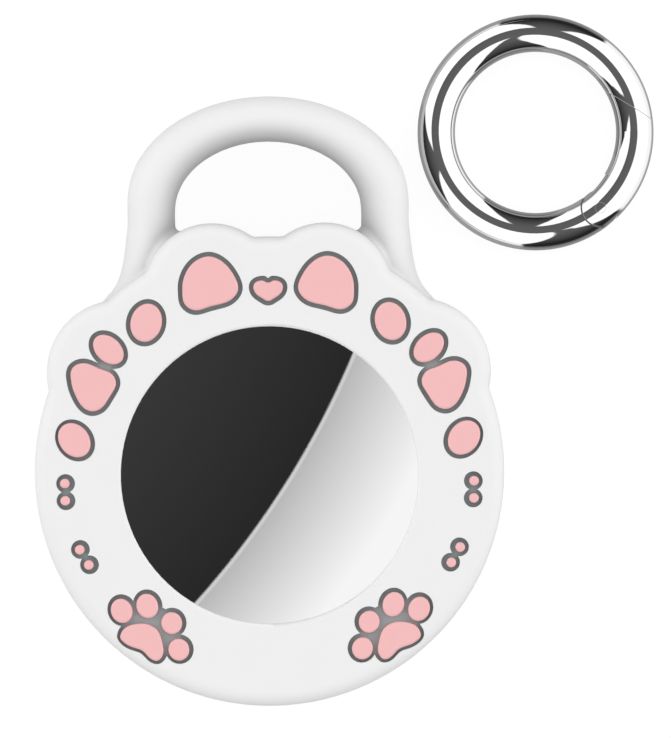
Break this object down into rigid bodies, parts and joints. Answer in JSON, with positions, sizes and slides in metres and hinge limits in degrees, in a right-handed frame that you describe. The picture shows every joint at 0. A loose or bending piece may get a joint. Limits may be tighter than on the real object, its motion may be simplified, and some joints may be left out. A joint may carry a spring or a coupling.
{
  "type": "tracker tag holder",
  "caption": "Soft round holder with a hanging loop, inlaid pads and a face window over a coin tracker tag, with a spring-gate ring to hang it by.",
  "frame": {"origin": "on the tag's axis, on the holder's flat back", "axes": "+Z out of the holder's face, +Y towards the hanging loop, +X to the right of the face"},
  "size_m": [0.0536, 0.0595, 0.01],
  "materials": {
    "white_silicone": "matte moulded silicone",
    "grey_silicone": "matte poured silicone",
    "pink_silicone": "matte poured silicone",
    "white_plastic": "gloss moulded",
    "polished_steel": "mirror polished stainless steel",
    "seal_rubber": "matte",
    "cell_steel": "satin can",
    "contact_brass": "plated",
    "carrier_plastic": "matte moulded",
    "board_laminate": "solder mask",
    "chip_plastic": "matte",
    "coil_copper": "enamelled copper winding",
    "magnet_metal": "nickel plated",
    "ring_chrome": "polished plating",
    "pin_steel": "polished",
    "spring_steel": "spring strip"
  },
  "bodies": {
    "holder": {"holder_body": "white_silicone", "heart_backing": "grey_silicone", "left_top_backing": "grey_silicone", "left_oval_backing": "grey_silicone", "left_side_backing": "grey_silicone", "left_low_backing": "grey_silicone", "left_upper_dots_backing": "grey_silicone", "left_lower_dots_backing": "grey_silicone", "left_paw_backing": "grey_silicone", "right_top_backing": "grey_silicone", "right_oval_backing": "grey_silicone", "right_side_backing": "grey_silicone", "right_low_backing": "grey_silicone", "right_upper_dots_backing": "grey_silicone", "right_lower_dots_backing": "grey_silicone", "right_paw_backing": "grey_silicone", "heart_pad": "pink_silicone", "left_top_pad": "pink_silicone", "left_oval_pad": "pink_silicone", "left_side_toe": "pink_silicone", "left_side_palm": "pink_silicone", "left_low_pad": "pink_silicone", "left_upper_dots": "pink_silicone", "left_lower_dots": "pink_silicone", "left_paw_toes": "pink_silicone", "left_paw_palm": "pink_silicone", "right_top_pad": "pink_silicone", "right_oval_pad": "pink_silicone", "right_side_toe": "pink_silicone", "right_side_palm": "pink_silicone", "right_low_pad": "pink_silicone", "right_upper_dots": "pink_silicone", "right_lower_dots": "pink_silicone", "right_paw_toes": "pink_silicone", "right_paw_palm": "pink_silicone"},
    "tag": {"tag_shell": "white_plastic", "battery_seal": "seal_rubber", "battery": "cell_steel", "battery_contacts": "contact_brass", "antenna_carrier": "carrier_plastic", "circuit_board": "board_laminate", "board_chips": "chip_plastic", "sound_coil": "coil_copper", "sound_magnet": "magnet_metal"},
    "tag_cover": {"tag_cover": "polished_steel"},
    "ring": {"ring_frame": "ring_chrome", "gate_pin": "pin_steel"},
    "gate": {"ring_gate": "ring_chrome", "gate_spring": "spring_steel"}
  },
  "joints": [
    {"name": "tag_lift", "type": "slide", "parent": "holder", "child": "tag", "axis": [0, 0, 1], "range_m": [0, 0.012], "deforming": ["holder_body", "heart_backing", "left_top_backing", "left_oval_backing", "left_side_backing", "left_low_backing", "left_upper_dots_backing", "left_lower_dots_backing", "left_paw_backing", "right_top_backing", "right_oval_backing", "right_side_backing", "right_low_backing", "right_upper_dots_backing", "right_lower_dots_backing", "right_paw_backing", "heart_pad", "left_top_pad", "left_oval_pad", "left_side_toe", "left_side_palm", "left_low_pad", "left_upper_dots", "left_lower_dots", "left_paw_toes", "left_paw_palm", "right_top_pad", "right_oval_pad", "right_side_toe", "right_side_palm", "right_low_pad", "right_upper_dots", "right_lower_dots", "right_paw_toes", "right_paw_palm"]},
    {"name": "cover_twist", "type": "hinge", "parent": "tag", "child": "tag_cover", "pos_m": [0, 0, 0], "axis": [0, 0, 1], "range_deg": [0, 30]},
    {"name": "ring_lift", "type": "slide", "parent": "holder", "child": "ring", "axis": [0, 0, 1], "range_m": [0, 0.02]},
    {"name": "gate_swing", "type": "hinge", "parent": "ring", "child": "gate", "pos_m": [0.02878, 0.02286, 0.00162], "axis": [0, 0, 1], "range_deg": [0, 40], "stiffness_Nm_per_rad": 0.01, "springref_deg": -11.46, "deforming": ["gate_spring"]}
  ]
}
